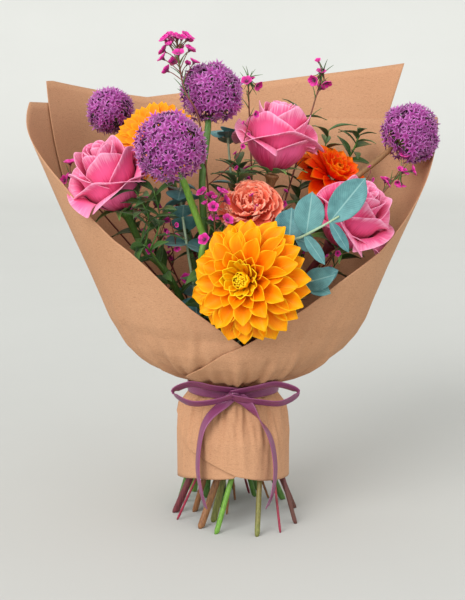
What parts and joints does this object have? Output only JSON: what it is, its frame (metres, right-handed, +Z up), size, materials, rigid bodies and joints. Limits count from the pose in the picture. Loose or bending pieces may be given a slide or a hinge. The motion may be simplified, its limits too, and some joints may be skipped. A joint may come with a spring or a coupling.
{
  "type": "mixed flower bouquet",
  "caption": "Hand-tied mixed bouquet of roses, dahlias, allium heads and leafy sprigs in a flared kraft-paper wrap tied with a satin ribbon bow, standing on its splayed cut stems.",
  "frame": {"origin": "centre of the bounding box's base, on the surface that the cut stems stand on", "axes": "+Z up along the bouquet, front of the bouquet (the open V of the paper) towards -Y, +X to the right seen from the front"},
  "size_m": [0.3786, 0.2984, 0.447],
  "materials": {
    "kraft_paper": "uncoated brown paper with fine dark flecks",
    "twine": "matt natural twine",
    "satin_ribbon": "smooth satin, silky highlight along its length",
    "green_stem": "fresh green stem, slightly waxy",
    "orange_petals": "soft matt petals, orange with yellow edges and red bases",
    "gerbera_petals": "soft matt petals, yellow-orange",
    "red_petals": "soft matt petals, red-orange",
    "coral_petals": "soft matt petals, coral pink",
    "rose_petals": "velvety petals, mauve pink with deep magenta folds",
    "allium_florets": "small matt florets, purple",
    "eucalyptus_leaf": "waxy blue-green leaf with pale veins",
    "dark_leaf": "matt dark green leaf",
    "waxflower": "small waxy magenta flowers on thin woody twigs"
  },
  "bodies": {
    "root": {"kraft_sheet_right": "kraft_paper", "kraft_sheet_left": "kraft_paper", "dahlia_orange": "orange_petals", "rose_left": "rose_petals", "rose_top": "rose_petals", "rose_right": "rose_petals", "gerbera_orange": "gerbera_petals", "dahlia_red": "red_petals", "coral_bloom": "coral_petals", "allium_left": "allium_florets", "allium_top": "allium_florets", "allium_back": "allium_florets", "allium_right": "allium_florets", "dahlia_orange_stem": "green_stem", "rose_left_stem": "green_stem", "rose_top_stem": "green_stem", "rose_right_stem": "green_stem", "gerbera_orange_stem": "green_stem", "dahlia_red_stem": "green_stem", "allium_left_stem": "green_stem", "allium_top_stem": "green_stem", "allium_back_stem": "green_stem", "allium_right_stem": "green_stem", "coral_bloom_stem": "green_stem", "eucalyptus_right": "eucalyptus_leaf", "eucalyptus_left": "eucalyptus_leaf", "eucalyptus_low": "eucalyptus_leaf", "eucalyptus_back": "eucalyptus_leaf", "waxflower_top": "waxflower", "waxflower_left": "waxflower", "waxflower_mid": "waxflower", "waxflower_back": "waxflower", "waxflower_right_top": "waxflower", "waxflower_right": "waxflower", "waxflower_far_left": "waxflower", "foliage_left": "dark_leaf", "foliage_mid": "dark_leaf", "foliage_right": "dark_leaf", "foliage_back": "dark_leaf", "binding_twine": "twine", "ribbon": "satin_ribbon"}
  },
  "joints": []
}
